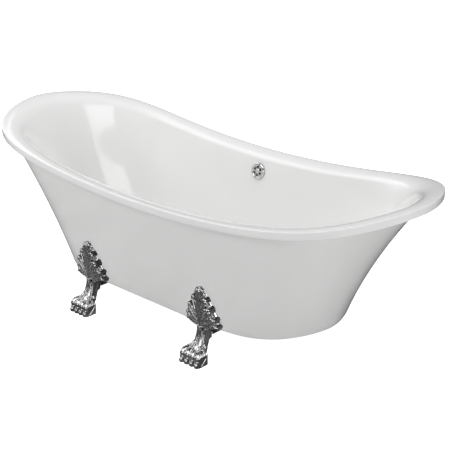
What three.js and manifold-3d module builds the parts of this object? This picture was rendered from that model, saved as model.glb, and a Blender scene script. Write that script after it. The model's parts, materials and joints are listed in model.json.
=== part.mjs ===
// Freestanding double-slipper bathtub on four claw feet, with its waste and overflow set.
// Millimetres, +Z up. The origin is on the floor under the middle of the tub, +X runs along
// its length and +Y points to the side that carries the overflow.
import * as THREE from "three";
import { mergeVertices } from "three/addons/utils/BufferGeometryUtils.js";
import Module from "manifold-3d";

const wasm = await Module();
wasm.setup();

// Overall size
const LENGTH = 1760;
const WIDTH = 700;
const MID_HEIGHT = 495; // rim top above the floor at mid length
const END_RISE = 107; // how much higher the rim stands at the two ends
const HALF_L = LENGTH / 2;
const HALF_W = WIDTH / 2;
const GAP = 0.3; // left between pieces that touch

// Plan outline of the rim: |u|^p + g(v) = 1, with straight long sides and round ends
const RIM_P = 7.4;
const RIM_Q = 1.4;
const TIP_BLEND = 0.15; // rounds the curve where it crosses the long axis
const RING_POINTS = 52;

// Basin
const ROLL_DROP = 27; // from the rim's line down to the foot of its roll, at mid length
const BAND_HEIGHT = 24.5; // upright outer face of the rolled rim
const RIM_WALL = 5; // acrylic thickness at the rim
const FLOOR_Z = 142; // inner floor
const SEAT_Z = 140; // flat seat round the drain
const UNDERSIDE_Z = 134;
const FLOOR_HALF_L = 330;
const FLOOR_HALF_W = 120;
const DRAIN_HOLE_R = 26;
const OVERFLOW_HOLE_R = 21;

// Skirt
const SKIRT_BASE_Z = 102;
const SKIRT_WALL = 4;
const SKIRT_TOP_DROP = 10.3; // below the rim top
const SKIRT_TOP = { a: 848, b: 336 };
const SKIRT_BASE = { a: 560, b: 261 };
const FLANGE_DEPTH = 20;

// Feet and frame
const FOOT_X = 268; // feet and rails stand at plus and minus this
const FOOT_TOP_Z = 263;
const ANKLE_BACK = 272; // flat back of the casting, from the long axis
const PAW_GAP = 2; // casting clears the floor by this, on its leveller
const FOOT_BOLT_Z = 87.5;
const BRACKET_PLATE = 4;
const BRACKET_TOP_Z = 101.6;
const BRACKET_HALF_W = 26;
const RAIL = { width: 40, height: 18, wall: 2, z: 102, halfLength: 228 };
const BOARD = { length: 640, width: 230, thickness: 12.6, z: 121 };
const RAIL_BOLT_YS = [170, 212];
const LEVELLER_OUT = 334; // the levellers' distance out from the long axis
const PAD_R = 12;
const STUD_R = 4;
const PAD_RECESS = 8; // top of the leveller's recess above the floor

// Waste and overflow
const OVERFLOW_T = 0.1; // where the overflow sits on the basin's wall curve, 0 at the rim
const TAIL_R = 24;
const THROAT_R = 20.5;
const PIPE = { outer: 11, bore: 9.2, depth: 20.5 }; // depth behind the basin's inner face
const TAIL_END_Z = 94;
const HUB_Z = 116; // top of the hub that holds the stopper's cartridge
const TEE_PORT_Z = 80;
const TEE_END_Z = 44;
const OUTLET_Z = 16;
const STOPPER_Z = 146.2; // underside of the stopper's cap, closed on its seal

// ---------------------------------------------------------------- materials

const finish = (color, roughness, metalness) =>
  new THREE.MeshStandardMaterial({ color, roughness, metalness });
const acrylic = () => finish(0xf4f4f2, 0.12, 0);
const chrome = () => finish(0xc8c8c8, 0.08, 1);
const blackSteel = () => finish(0x141414, 0.45, 0.6);
const zincSteel = () => finish(0x9a9a98, 0.35, 1);
const rubber = () => finish(0x1c1c1c, 0.85, 0);
const greyPlastic = () => finish(0xd9d9d6, 0.5, 0);
const board = () => finish(0x9b7a4e, 0.8, 0);
const brass = () => finish(0xb08d45, 0.3, 1);

// ---------------------------------------------------------------- solids

// A three.js geometry as a manifold solid, optionally moved by a matrix.
function solid(geometry, matrix = new THREE.Matrix4()) {
  const bare = new THREE.BufferGeometry();
  const flat = geometry.index ? geometry.toNonIndexed() : geometry;
  bare.setAttribute("position", flat.getAttribute("position").clone());
  bare.applyMatrix4(matrix);
  const merged = mergeVertices(bare, 1e-3);
  const vertProperties = merged.getAttribute("position").array;
  const triVerts = new Uint32Array(merged.index.array);
  return new wasm.Manifold(new wasm.Mesh({ numProp: 3, vertProperties, triVerts }));
}

function geometryOf(body) {
  const mesh = body.getMesh();
  const geometry = new THREE.BufferGeometry();
  geometry.setAttribute("position", new THREE.BufferAttribute(mesh.vertProperties, mesh.numProp));
  geometry.setIndex(new THREE.BufferAttribute(mesh.triVerts, 1));
  const flat = geometry.toNonIndexed();
  flat.computeVertexNormals();
  return flat;
}

const at = (x, y, z) => new THREE.Matrix4().makeTranslation(x, y, z);
const box = (w, d, h, x, y, z) => solid(new THREE.BoxGeometry(w, d, h), at(x, y, z));

// A solid of revolution about Z from a closed outline of [radius, height] points.
function turned(points, segments = 20) {
  const closed = [...points, points[0]].map(([r, z]) => new THREE.Vector2(r, z));
  const area = closed.reduce((sum, p, i) => {
    const n = closed[(i + 1) % closed.length];
    return sum + p.x * n.y - n.x * p.y;
  }, 0);
  if (area < 0) closed.reverse();
  return solid(new THREE.LatheGeometry(closed, segments).rotateX(Math.PI / 2));
}

const rod = (r, z0, z1, segments) => turned([[0, z0], [r, z0], [r, z1], [0, z1]], segments);
const tube = (r, bore, z0, z1, segments) =>
  turned([[bore, z0], [r, z0], [r, z1], [bore, z1]], segments);
const hexBar = (acrossFlats, z0, z1) => rod(acrossFlats / Math.sqrt(3), z0, z1, 6);

const turnTo = (body, matrix) => solid(geometryOf(body), matrix);

// ---------------------------------------------------------------- outline rings

// One point of the unit outline at angle t, for the exponents p along and q across.
function outline(t, p, q) {
  const v = Math.sin(t);
  const e = TIP_BLEND;
  const across = ((v * v + e * e) ** (q / 2) - e ** q) / ((1 + e * e) ** (q / 2) - e ** q);
  const u = Math.sign(Math.cos(t)) * Math.max(0, 1 - across) ** (1 / p);
  return [u, v];
}

// Angles that space the points of the rim evenly along its length.
function evenAngles(count) {
  const samples = 4096;
  const lengths = [0];
  let last = outline(0, RIM_P, RIM_Q);
  for (let i = 1; i <= samples; i++) {
    const next = outline((2 * Math.PI * i) / samples, RIM_P, RIM_Q);
    const step = Math.hypot(HALF_L * (next[0] - last[0]), HALF_W * (next[1] - last[1]));
    lengths.push(lengths[i - 1] + step);
    last = next;
  }
  const angles = [];
  for (let k = 0, i = 0; k < count; k++) {
    const wanted = (k * lengths[samples]) / count;
    while (lengths[i + 1] <= wanted) i++;
    const part = (wanted - lengths[i]) / (lengths[i + 1] - lengths[i]);
    angles.push((2 * Math.PI * (i + part)) / samples);
  }
  return angles;
}
const ANGLES = evenAngles(RING_POINTS);

// Heights of a ring's points: a drop below the rim's curve, a level, or a mix of the two.
const below = (drop) => (u) => MID_HEIGHT + END_RISE * u * u - drop;
const belowEnds = (drop, more) => (u) => below(drop + more * u * u)(u);
const level = (z) => () => z;
const between = (low, high, share) => (u) => low(u) * (1 - share) + high(u) * share;

function ring(a, b, z, p = RIM_P, q = RIM_Q) {
  return ANGLES.map((t) => {
    const [u, v] = outline(t, p, q);
    return new THREE.Vector3(a * u, b * v, z(u));
  });
}
const rimRing = (inset, drop, endInset = inset) =>
  ring(HALF_L - endInset, HALF_W - inset, below(drop));

// A point of the Bezier curve through matching points of some rings.
function bezierRing(rings, t) {
  let rows = rings;
  while (rows.length > 1) {
    rows = rows.slice(1).map((next, i) => rows[i].map((p, k) => p.clone().lerp(next[k], t)));
  }
  return rows[0];
}
const sweep = (rings, steps) =>
  Array.from({ length: steps + 1 }, (_, i) => bezierRing(rings, i / steps));

// Triangles between each ring and the next. A closed loft joins the last ring to the first;
// an open one is closed with a centre point at each end.
function loft(rings, closed, start, end) {
  const n = rings[0].length;
  const points = rings.flat();
  const faces = [];
  const bands = closed ? rings.length : rings.length - 1;
  for (let i = 0; i < bands; i++) {
    const lower = i * n;
    const upper = ((i + 1) % rings.length) * n;
    for (let k = 0; k < n; k++) {
      const m = (k + 1) % n;
      faces.push(lower + k, lower + m, upper + m, lower + k, upper + m, upper + k);
    }
  }
  if (!closed) {
    const first = points.push(start) - 1;
    const last = points.push(end) - 1;
    const top = (rings.length - 1) * n;
    for (let k = 0; k < n; k++) {
      const m = (k + 1) % n;
      faces.push(first, m, k, last, top + k, top + m);
    }
  }
  const geometry = new THREE.BufferGeometry();
  const flat = new Float32Array(points.flatMap((p) => [p.x, p.y, p.z]));
  geometry.setAttribute("position", new THREE.BufferAttribute(flat, 3));
  geometry.setIndex(faces);
  return solid(geometry);
}

// ---------------------------------------------------------------- basin and skirt

// Control rings of the basin's wall, from the rim's inner edge down to the flat floor. The
// growth and sink of the outside face give the wall its thickness.
function wallControls(growth, sink) {
  const g = growth;
  const bottom = level(FLOOR_Z - sink);
  const top = (u) => below(ROLL_DROP + 11 * u * u + sink / 2)(u);
  return [
    ring(795 + g, 284.5 + g, top),
    ring(682 + g, 252.5 + g, between(bottom, top, 0.635), 6.4),
    ring(600 + g, 232 + g, bottom, 4.6, 1.7),
    ring(FLOOR_HALF_L, FLOOR_HALF_W, bottom, 3.4, 2),
  ];
}

function basin() {
  const wall = sweep(wallControls(0, 0), 7).reverse();
  const crown = ring(824.7, 302, belowEnds(8.4, 3.1));
  const bend = sweep([wallControls(0, 0)[0], ring(807.3, 288.3, belowEnds(13.1, 7.8)), crown], 3);
  const roll = [...bend, ...sweep([crown, ring(846, 325.8, below(0.2)), rimRing(5, 0)], 2).slice(1)];
  const lip = [rimRing(1.2, 1.2), rimRing(0, 4), rimRing(0, BAND_HEIGHT)];
  const channel = [
    rimRing(RIM_WALL, BAND_HEIGHT),
    rimRing(RIM_WALL, 9.5),
    rimRing(8, 6.2, 12),
    rimRing(12, 6.3, 30),
    rimRing(19, 7.3, 37),
  ];
  const controls = wallControls(6, FLOOR_Z - UNDERSIDE_Z);
  const under = sweep([rimRing(26, 11, 42), ring(829, 300, belowEnds(15, 2)), controls[0]], 2);
  const back = [...under, ...sweep(controls, 5).slice(1)];
  const seat = ring(62, 62, level(SEAT_Z), 2, 2);
  const inside = [seat, ...wall, ...roll.slice(1), ...lip];
  const outside = [...channel, ...back];
  const shell = loft(
    [...inside, ...outside].reverse(),
    false,
    new THREE.Vector3(0, 0, UNDERSIDE_Z),
    new THREE.Vector3(0, 0, SEAT_Z),
  );
  const drainHole = rod(DRAIN_HOLE_R, UNDERSIDE_Z - 20, SEAT_Z + 20);
  const overflowHole = turnTo(rod(OVERFLOW_HOLE_R, -40, 40), overflowFrame());
  return shell.subtract(drainHole).subtract(overflowHole);
}

// Control rings of the skirt's outside face, from the bottom edge to under the rim.
function skirtControls(inset) {
  const mid = { a: SKIRT_BASE.a + 92, b: (SKIRT_BASE.b + SKIRT_TOP.b) / 2 };
  const base = level(SKIRT_BASE_Z + 9);
  const top = below(SKIRT_TOP_DROP);
  return [
    ring(SKIRT_BASE.a + 2 - inset, SKIRT_BASE.b + 1 - inset, base, 6.3),
    ring(mid.a - inset, mid.b - inset, between(base, top, 0.5), 6.9),
    ring(SKIRT_TOP.a - inset, SKIRT_TOP.b - inset, top),
  ];
}

function skirt() {
  const edge = (inset, z) =>
    ring(SKIRT_BASE.a - inset, SKIRT_BASE.b - inset, level(SKIRT_BASE_Z + z), 6.3);
  const rings = [
    ...sweep(skirtControls(0), 4).reverse(),
    edge(0.6, 4),
    edge(3.5, 1),
    edge(8, 0),
    edge(8 + FLANGE_DEPTH, 0),
    edge(8 + FLANGE_DEPTH, SKIRT_WALL),
    edge(8, SKIRT_WALL),
    ...sweep(skirtControls(SKIRT_WALL), 4),
  ];
  return loft(rings.reverse(), true);
}

// The soft bead between the top of the skirt and the underside of the rim.
function rimSeal() {
  const out = { a: SKIRT_TOP.a + 1, b: SKIRT_TOP.b + 1 };
  const corner = (inset, drop) => ring(out.a - inset, out.b - inset, below(drop));
  const top = 7.4;
  const bottom = SKIRT_TOP_DROP - GAP;
  const width = 6;
  return loft([corner(0, bottom), corner(0, top), corner(width, top), corner(width, bottom)], true);
}

// ---------------------------------------------------------------- supporting frame

function baseBoard() {
  const { length, width, thickness, z } = BOARD;
  const corner = 40;
  const shape = new THREE.Shape();
  const [x, y] = [length / 2, width / 2];
  shape.moveTo(-x + corner, -y);
  shape.absarc(x - corner, -y + corner, corner, -Math.PI / 2, 0);
  shape.absarc(x - corner, y - corner, corner, 0, Math.PI / 2);
  shape.absarc(-x + corner, y - corner, corner, Math.PI / 2, Math.PI);
  shape.absarc(-x + corner, -y + corner, corner, Math.PI, 1.5 * Math.PI);
  const options = { depth: thickness, bevelEnabled: false, curveSegments: 6 };
  const slab = solid(new THREE.ExtrudeGeometry(shape, options), at(0, 0, z));
  return slab.subtract(rod(52, z - 5, z + thickness + 5));
}

// A rectangular tube across the tub, with holes in its lower wall for the bracket bolts.
function rail() {
  const { width, height, wall, z, halfLength } = RAIL;
  const mid = z + height / 2;
  let body = box(width, 2 * halfLength, height, 0, 0, mid);
  body = body.subtract(
    box(width - 2 * wall, 2 * halfLength + 2, height - 2 * wall, 0, 0, mid),
  );
  for (const y of RAIL_BOLT_YS) {
    for (const side of [-1, 1]) {
      body = body.subtract(turnTo(rod(4.4, -5, 5, 10), at(0, side * y, z)));
    }
  }
  return body;
}

// Steel bracket bolted under a rail's end. It passes under the skirt's edge as a shallow
// channel and turns down behind the foot.
function footBracket() {
  const front = -(ANKLE_BACK - GAP);
  const back = -150;
  const depth = back - front;
  const faceLow = FOOT_BOLT_Z - 12;
  const cheekLow = BRACKET_TOP_Z - 12;
  const width = 2 * BRACKET_HALF_W;
  const plateZ = BRACKET_TOP_Z - BRACKET_PLATE / 2;
  const top = box(width, depth, BRACKET_PLATE, 0, front + depth / 2, plateZ);
  const faceMid = (BRACKET_TOP_Z + faceLow) / 2;
  const face = box(36, BRACKET_PLATE, BRACKET_TOP_Z - faceLow, 0, front + BRACKET_PLATE / 2, faceMid);
  let body = top.add(face);
  for (const side of [-1, 1]) {
    const x = side * (BRACKET_HALF_W - BRACKET_PLATE / 2);
    const mid = (BRACKET_TOP_Z + cheekLow) / 2;
    body = body.add(box(BRACKET_PLATE, depth, BRACKET_TOP_Z - cheekLow, x, front + depth / 2, mid));
  }
  body = body.subtract(turnTo(rod(5.5, -10, 10, 12), footBoltFrame()));
  for (const y of RAIL_BOLT_YS) {
    body = body.subtract(turnTo(rod(4.5, -8, 8, 10), at(0, -y, BRACKET_TOP_Z)));
  }
  return body;
}

// Frame of the foot bolt: its own +Z points out through the bracket into the casting.
function footBoltFrame() {
  return at(0, -(ANKLE_BACK - GAP), FOOT_BOLT_Z).multiply(
    new THREE.Matrix4().makeRotationX(Math.PI / 2),
  );
}

function footBolt() {
  const head = hexBar(16, -BRACKET_PLATE - GAP - 6.5, -BRACKET_PLATE - GAP);
  const shank = rod(5, -BRACKET_PLATE - GAP - 2, 22, 12);
  return turnTo(head.add(shank), footBoltFrame());
}

function railBolt(y) {
  const underside = BRACKET_TOP_Z - BRACKET_PLATE - GAP;
  const bolt = hexBar(12, underside - 5, underside).add(rod(4, underside - 2, underside + 16, 10));
  return turnTo(bolt, at(0, -y, 0));
}

// ---------------------------------------------------------------- claw foot

// At each height: half width, distance out from the long axis to the back and to the front,
// how square the section is, and the share of the depth, from the back, where it is widest.
const CASTING = [
  { z: PAW_GAP, half: 43, back: 312, front: 358, square: 6, widest: 0.5 },
  { z: 10, half: 45.5, back: 311, front: 359, square: 6, widest: 0.5 },
  { z: 28, half: 45.5, back: 311, front: 357, square: 6, widest: 0.5 },
  { z: 41, half: 42, back: 309, front: 349, square: 5, widest: 0.5 },
  { z: 49, half: 28, back: 298, front: 330, square: 3, widest: 0.5 },
  { z: 62, half: 24, back: 288, front: 318, square: 2.6, widest: 0.5 },
  { z: 86, half: 23, back: 279, front: 310, square: 2.4, widest: 0.5 },
  { z: 108, half: 25, back: 271, front: 304, square: 2.4, widest: 0.5 },
  { z: 119, half: 40, back: 267, front: 304, square: 2.4, widest: 0.3 },
  { z: 130, half: 67, back: 269, front: 306, square: 2.2, widest: 0.15 },
  { z: 156, half: 71, back: 274, front: 308, square: 2, widest: 0.12 },
  { z: 184, half: 50, back: 280, front: 309, square: 2, widest: 0.15 },
  { z: 228, half: 34, back: 288.5, front: 308, square: 2, widest: 0.25 },
  { z: 250, half: 18, back: 293, front: 306, square: 2, widest: 0.4 },
  { z: FOOT_TOP_Z, half: 7, back: 296, front: 303, square: 2, widest: 0.5 },
];

function clawFoot() {
  const sides = 14;
  const rings = CASTING.map(({ z, half, back, front, square, widest }) => {
    const middle = back + (front - back) * widest;
    return Array.from({ length: sides }, (_, i) => {
      const t = (2 * Math.PI * i) / sides;
      const power = 2 / square;
      const x = half * Math.sign(Math.cos(t)) * Math.abs(Math.cos(t)) ** power;
      const reach = Math.sin(t) > 0 ? middle - back : front - middle;
      const y = reach * Math.sign(Math.sin(t)) * Math.abs(Math.sin(t)) ** power;
      return new THREE.Vector3(x, y - middle, z);
    });
  });
  const mid = (level) => new THREE.Vector3(0, -(level.back + level.front) / 2, level.z);
  let body = loft(rings, false, mid(CASTING[0]), mid(CASTING[CASTING.length - 1]));
  const toe = new THREE.SphereGeometry(1, 7, 5);
  for (const [x, out] of [[-34, 350], [-12, 353], [12, 353], [34, 350]]) {
    const place = at(x, -out, 17).scale(new THREE.Vector3(11, 12, 15));
    body = body.add(solid(toe, place));
  }
  const boss = box(38, 24, 30, 0, -(ANKLE_BACK + 12), FOOT_BOLT_Z);
  body = body.add(boss);
  body = body.subtract(turnTo(rod(5.4, -2, 24, 12), footBoltFrame()));
  body = body.subtract(turnTo(rod(PAD_R + 1.5, -5, PAD_RECESS, 16), at(0, -LEVELLER_OUT, 0)));
  return body.subtract(turnTo(rod(STUD_R + 0.4, 0, 36, 10), at(0, -LEVELLER_OUT, 0)));
}

// Stud with a round pad that screws into the underside of the paw.
function leveller() {
  const top = PAD_RECESS - GAP;
  const pad = turned([[0, 0], [PAD_R - 1.5, 0], [PAD_R, 1.5], [PAD_R, top], [0, top]], 16);
  return turnTo(pad.add(rod(STUD_R, 2, 32, 10)), at(0, -LEVELLER_OUT, 0));
}

// ---------------------------------------------------------------- overflow

// Frame of the overflow: its origin on the basin's inner wall, its +Z into the basin.
function overflowFrame() {
  const quarter = RING_POINTS / 4;
  const wall = (t) => bezierRing(wallControls(0, 0), t)[quarter];
  const origin = wall(OVERFLOW_T);
  const down = wall(OVERFLOW_T + 0.02).sub(wall(OVERFLOW_T - 0.02)).normalize();
  const along = new THREE.Vector3(1, 0, 0);
  const inward = new THREE.Vector3().crossVectors(down, along).normalize();
  const frame = new THREE.Matrix4().makeBasis(down, along, inward);
  return frame.setPosition(origin);
}

function overflowCover() {
  const face = turned([
    [0, 2], [27, 2], [30, 2.8], [30, 4.5], [27.5, 7.2],
    [23, 8.2], [20.5, 6.4], [8, 6.4], [6, 8.2], [0, 8.6],
  ]);
  const sector = new THREE.Shape();
  const half = 0.36; // half the angle that an opening spans
  sector.absarc(0, 0, 18.5, -half, half);
  sector.absarc(0, 0, 9.5, half, -half, true);
  const options = { depth: 30, bevelEnabled: false, curveSegments: 3 };
  const slot = new THREE.ExtrudeGeometry(sector, options).translate(0, 0, -15);
  let body = face.add(tube(19.8, 19, -13, 4));
  for (let i = 0; i < 6; i++) {
    body = body.subtract(solid(slot, new THREE.Matrix4().makeRotationZ((i * Math.PI) / 3)));
  }
  return body;
}

const overflowGasket = () => tube(28, 22, GAP, 1.7);

// Shallow cup behind the wall with a spigot that points down along it.
function overflowBody() {
  const cup = turned([
    [20.3, -8], [27, -8], [27, -11], [24, -12], [24, -30], [0, -30], [0, -27.5], [20.3, -27.5],
  ]);
  const toDown = new THREE.Matrix4().makeRotationY(Math.PI / 2);
  const place = at(0, 0, -PIPE.depth).multiply(toDown);
  const spigot = turnTo(rod(PIPE.bore - 1.2, 21.5, 44, 12), place);
  const bore = turnTo(rod(PIPE.bore - 3, 15, 50, 12), place);
  return cup.add(spigot).subtract(bore);
}

// Pipe from the overflow down behind the basin and across to the tee under the drain.
function overflowPipe() {
  const { port, start, way } = pipeRoute();
  const route = new THREE.CatmullRomCurve3([start, ...way, port]);
  const section = new THREE.Shape();
  section.absarc(0, 0, PIPE.outer, 0, 2 * Math.PI);
  const hollow = new THREE.Path();
  hollow.absarc(0, 0, PIPE.bore, 0, 2 * Math.PI, true);
  section.holes.push(hollow);
  const options = { steps: 16, curveSegments: 4, bevelEnabled: false, extrudePath: route };
  return solid(new THREE.ExtrudeGeometry(section, options));
}

function pipeRoute() {
  const frame = overflowFrame();
  const start = new THREE.Vector3(30, 0, -PIPE.depth).applyMatrix4(frame);
  const next = new THREE.Vector3(52, 0, -PIPE.depth).applyMatrix4(frame);
  const way = [
    next,
    new THREE.Vector3(0, 271, 285),
    new THREE.Vector3(0, 247, 199),
    new THREE.Vector3(0, 216, 132),
    new THREE.Vector3(0, 178, 93),
    new THREE.Vector3(0, 128, TEE_PORT_Z),
    new THREE.Vector3(0, 85, TEE_PORT_Z),
  ];
  return { start, way, port: new THREE.Vector3(0, 50, TEE_PORT_Z) };
}

// Compression nut, hexagonal outside, round the pipe's end at the tee.
function pipeNut() {
  const nut = hexBar(34, 0, 15).subtract(rod(PIPE.outer + 2 * GAP, -1, 16));
  const frame = at(0, 51, TEE_PORT_Z).multiply(new THREE.Matrix4().makeRotationX(-Math.PI / 2));
  return turnTo(nut, frame);
}

// ---------------------------------------------------------------- drain

const drainGasket = () => tube(32, 26.5, SEAT_Z + GAP, SEAT_Z + 1.7);
const lowerGasket = () => tube(34, 26.5, UNDERSIDE_Z - 3.3, UNDERSIDE_Z - GAP);

function drainFlange() {
  const z = SEAT_Z + 2;
  const shell = turned([
    [TAIL_R, TAIL_END_Z], [TAIL_R, z], [33, z], [35, z + 1], [35, z + 2.4], [32.5, z + 4],
    [30.5, z + 3.6], [28.5, z + 1.6], [22.5, z + 0.9], [THROAT_R, z - 1.5], [THROAT_R, TAIL_END_Z],
  ]);
  let body = shell.add(tube(7, 5.2, HUB_Z - 8, HUB_Z));
  for (let i = 0; i < 3; i++) {
    const arm = box(THROAT_R - 5, 4, 5, 6 + (THROAT_R - 5) / 2, 0, HUB_Z - 5);
    body = body.add(turnTo(arm, new THREE.Matrix4().makeRotationZ((i * 2 * Math.PI) / 3)));
  }
  return body;
}

// Sprung click cartridge that screws into the hub of the drain flange.
const stopperCartridge = () =>
  turned([
    [0, HUB_Z - 16], [4.8, HUB_Z - 16], [4.8, HUB_Z + GAP], [8, HUB_Z + GAP], [8, HUB_Z + 12],
    [4.6, HUB_Z + 12], [4.6, HUB_Z - 12], [0, HUB_Z - 12],
  ]);

function stopperCap() {
  const z = STOPPER_Z;
  return turned([
    [0, HUB_Z - 6], [4, HUB_Z - 6], [4, z - 2.8], [9.5, z - 2.8], [9.5, z], [28.4, z],
    [29, z + 0.8], [27, z + 3], [18, z + 4.8], [9, z + 5.8], [0, z + 6.1],
  ]);
}

const stopperSeal = () => tube(27, 9.5 + GAP, STOPPER_Z - 2.3, STOPPER_Z - GAP);

// Tee that screws up on the flange's tail, takes the overflow pipe and ends in the outlet.
function wasteTee() {
  const top = UNDERSIDE_Z - 3.6;
  const shell = turned([
    [24.4, top], [35, top], [35, top - 6], [29, top - 8], [29, 64], [21, 58], [21, TEE_END_Z],
    [17.5, TEE_END_Z], [17.5, 60], [24.4, 68],
  ]);
  const outward = at(0, 0, TEE_PORT_Z).multiply(new THREE.Matrix4().makeRotationX(-Math.PI / 2));
  const port = turnTo(rod(13, 25, 49, 16), outward);
  const bore = turnTo(rod(9.5, 10, 52, 16), outward);
  return shell.add(port).subtract(bore);
}

const outletPipe = () => tube(20, 18, OUTLET_Z, TEE_END_Z - 0.4);
const outletNut = () => hexBar(52, 36, 57).subtract(rod(21 + GAP, 30, 60));

// ---------------------------------------------------------------- assembly

const tub = new THREE.Group();

function place(name, body, material, parent = tub) {
  const mesh = new THREE.Mesh(geometryOf(body), material);
  mesh.name = name;
  parent.add(mesh);
}

place("basin", basin(), acrylic());
place("skirt", skirt(), acrylic());
place("rim_seal", rimSeal(), rubber());
place("base_board", baseBoard(), board());

// One end of the tub carries a rail, and each end of the rail carries a bracket and a foot.
for (const [end, x] of [["left", -FOOT_X], ["right", FOOT_X]]) {
  const across = new THREE.Group();
  across.position.x = x;
  tub.add(across);
  place(`cross_rail_${end}`, rail(), blackSteel(), across);
  for (const [side, turn] of [["front", 0], ["rear", Math.PI]]) {
    const corner = new THREE.Group();
    corner.rotation.z = turn;
    across.add(corner);
    const name = (piece) => `${piece}_${side}_${end}`;
    place(name("claw_foot"), clawFoot(), chrome(), corner);
    place(name("leveller"), leveller(), zincSteel(), corner);
    place(name("foot_bracket"), footBracket(), blackSteel(), corner);
    place(name("foot_bolt"), footBolt(), zincSteel(), corner);
    place(name("rail_bolt_outer"), railBolt(RAIL_BOLT_YS[1]), zincSteel(), corner);
    place(name("rail_bolt_inner"), railBolt(RAIL_BOLT_YS[0]), zincSteel(), corner);
  }
}

const overflow = new THREE.Group();
overflow.applyMatrix4(overflowFrame());
tub.add(overflow);
place("overflow_cover", overflowCover(), chrome(), overflow);
place("overflow_gasket", overflowGasket(), rubber(), overflow);
place("overflow_body", overflowBody(), greyPlastic(), overflow);
place("overflow_pipe", overflowPipe(), greyPlastic());
place("pipe_nut", pipeNut(), brass());

place("drain_flange", drainFlange(), chrome());
place("drain_gasket", drainGasket(), rubber());
place("lower_gasket", lowerGasket(), rubber());
place("waste_tee", wasteTee(), brass());
place("outlet_pipe", outletPipe(), chrome());
place("outlet_nut", outletNut(), chrome());
place("stopper_cartridge", stopperCartridge(), brass());
place("stopper_cap", stopperCap(), chrome());
place("stopper_seal", stopperSeal(), rubber());

export default tub;
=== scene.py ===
import json
import math

import bmesh
import bpy
import numpy as np
from mathutils import Matrix, Vector

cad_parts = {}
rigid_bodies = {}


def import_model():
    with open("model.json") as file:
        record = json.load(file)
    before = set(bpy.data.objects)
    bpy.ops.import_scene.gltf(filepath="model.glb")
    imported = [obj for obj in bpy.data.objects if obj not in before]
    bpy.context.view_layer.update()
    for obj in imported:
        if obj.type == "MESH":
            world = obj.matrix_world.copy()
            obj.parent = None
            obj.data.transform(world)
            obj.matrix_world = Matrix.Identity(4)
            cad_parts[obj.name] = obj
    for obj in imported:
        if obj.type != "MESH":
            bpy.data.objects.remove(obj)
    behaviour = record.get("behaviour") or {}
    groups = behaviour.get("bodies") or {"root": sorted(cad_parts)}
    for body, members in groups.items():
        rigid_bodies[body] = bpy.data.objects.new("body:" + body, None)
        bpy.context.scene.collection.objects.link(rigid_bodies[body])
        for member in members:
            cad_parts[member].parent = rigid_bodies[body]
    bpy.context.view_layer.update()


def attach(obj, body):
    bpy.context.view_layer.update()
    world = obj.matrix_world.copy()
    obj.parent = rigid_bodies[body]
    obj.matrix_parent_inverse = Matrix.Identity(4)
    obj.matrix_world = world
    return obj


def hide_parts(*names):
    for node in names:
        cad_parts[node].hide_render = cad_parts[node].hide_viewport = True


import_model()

MM = 0.001

# ---- driving dimensions, in millimetres

HALF_L = 880
HALF_W = 350
MID_HEIGHT = 495  # rim top above the floor at mid length
END_RISE = 107  # how much higher the rim stands at the two ends
GAP = 0.3  # left between pieces that touch

# Plan outline of the rim: straight long sides and round ends
RIM_P = 7.4
RIM_Q = 1.4
TIP_BLEND = 0.15
RING_POINTS = 480

# Basin
ROLL_DROP = 27
BAND_HEIGHT = 24.5
RIM_WALL = 5
FLOOR_Z = 142
SEAT_Z = 140
UNDERSIDE_Z = 134
FLOOR_HALF_L = 330
FLOOR_HALF_W = 120
DRAIN_SEAT_R = 62
DRAIN_HOLE_R = 26
OVERFLOW_HOLE_R = 21

# Skirt
SKIRT_BASE_Z = 102
SKIRT_WALL = 4
SKIRT_TOP_DROP = 10.3
SKIRT_TOP = (848, 336)
SKIRT_BASE = (560, 261)
SKIRT_BASE_P = 6.3
FLANGE_DEPTH = 20
SEAL_TOP_DROP = 7.4
SEAL_WIDTH = 6

# Feet and frame
FOOT_X = 268
ANKLE_BACK = 272
PAW_GAP = 2
FOOT_BOLT_Z = 87.5
LEVELLER_OUT = 334
PAD_R = 12
PAD_TOP = 8
STUD_R = 4
BRACKET_TOP_Z = 101.6
BRACKET_PLATE = 4
BRACKET_HALF_W = 26
BRACKET_BACK = 150
FACE_WIDTH = 36
CHEEK_HEIGHT = 12
RAIL_HALF = (20, 228, 9)
RAIL_MID_Z = 111
RAIL_BOLTS = {"inner": 170, "outer": 212}
BOARD_HALF = (320, 115)
BOARD_CORNER = 40
BOARD_HOLE_R = 52
BOARD_Z = (121, 133.6)

# Waste and overflow
OVERFLOW_T = 0.1  # where the overflow sits on the basin's wall curve, 0 at the rim
COVER_R = 30
PIPE_DEPTH = 20.5
PIPE_R = 11
PIPE_BORE = 9.2
TAIL_END_Z = 94
THROAT_R = 20.5
TEE_PORT_Z = 80
HUB_Z = 116
STOPPER_Z = 146.2


# ---- materials

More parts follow.
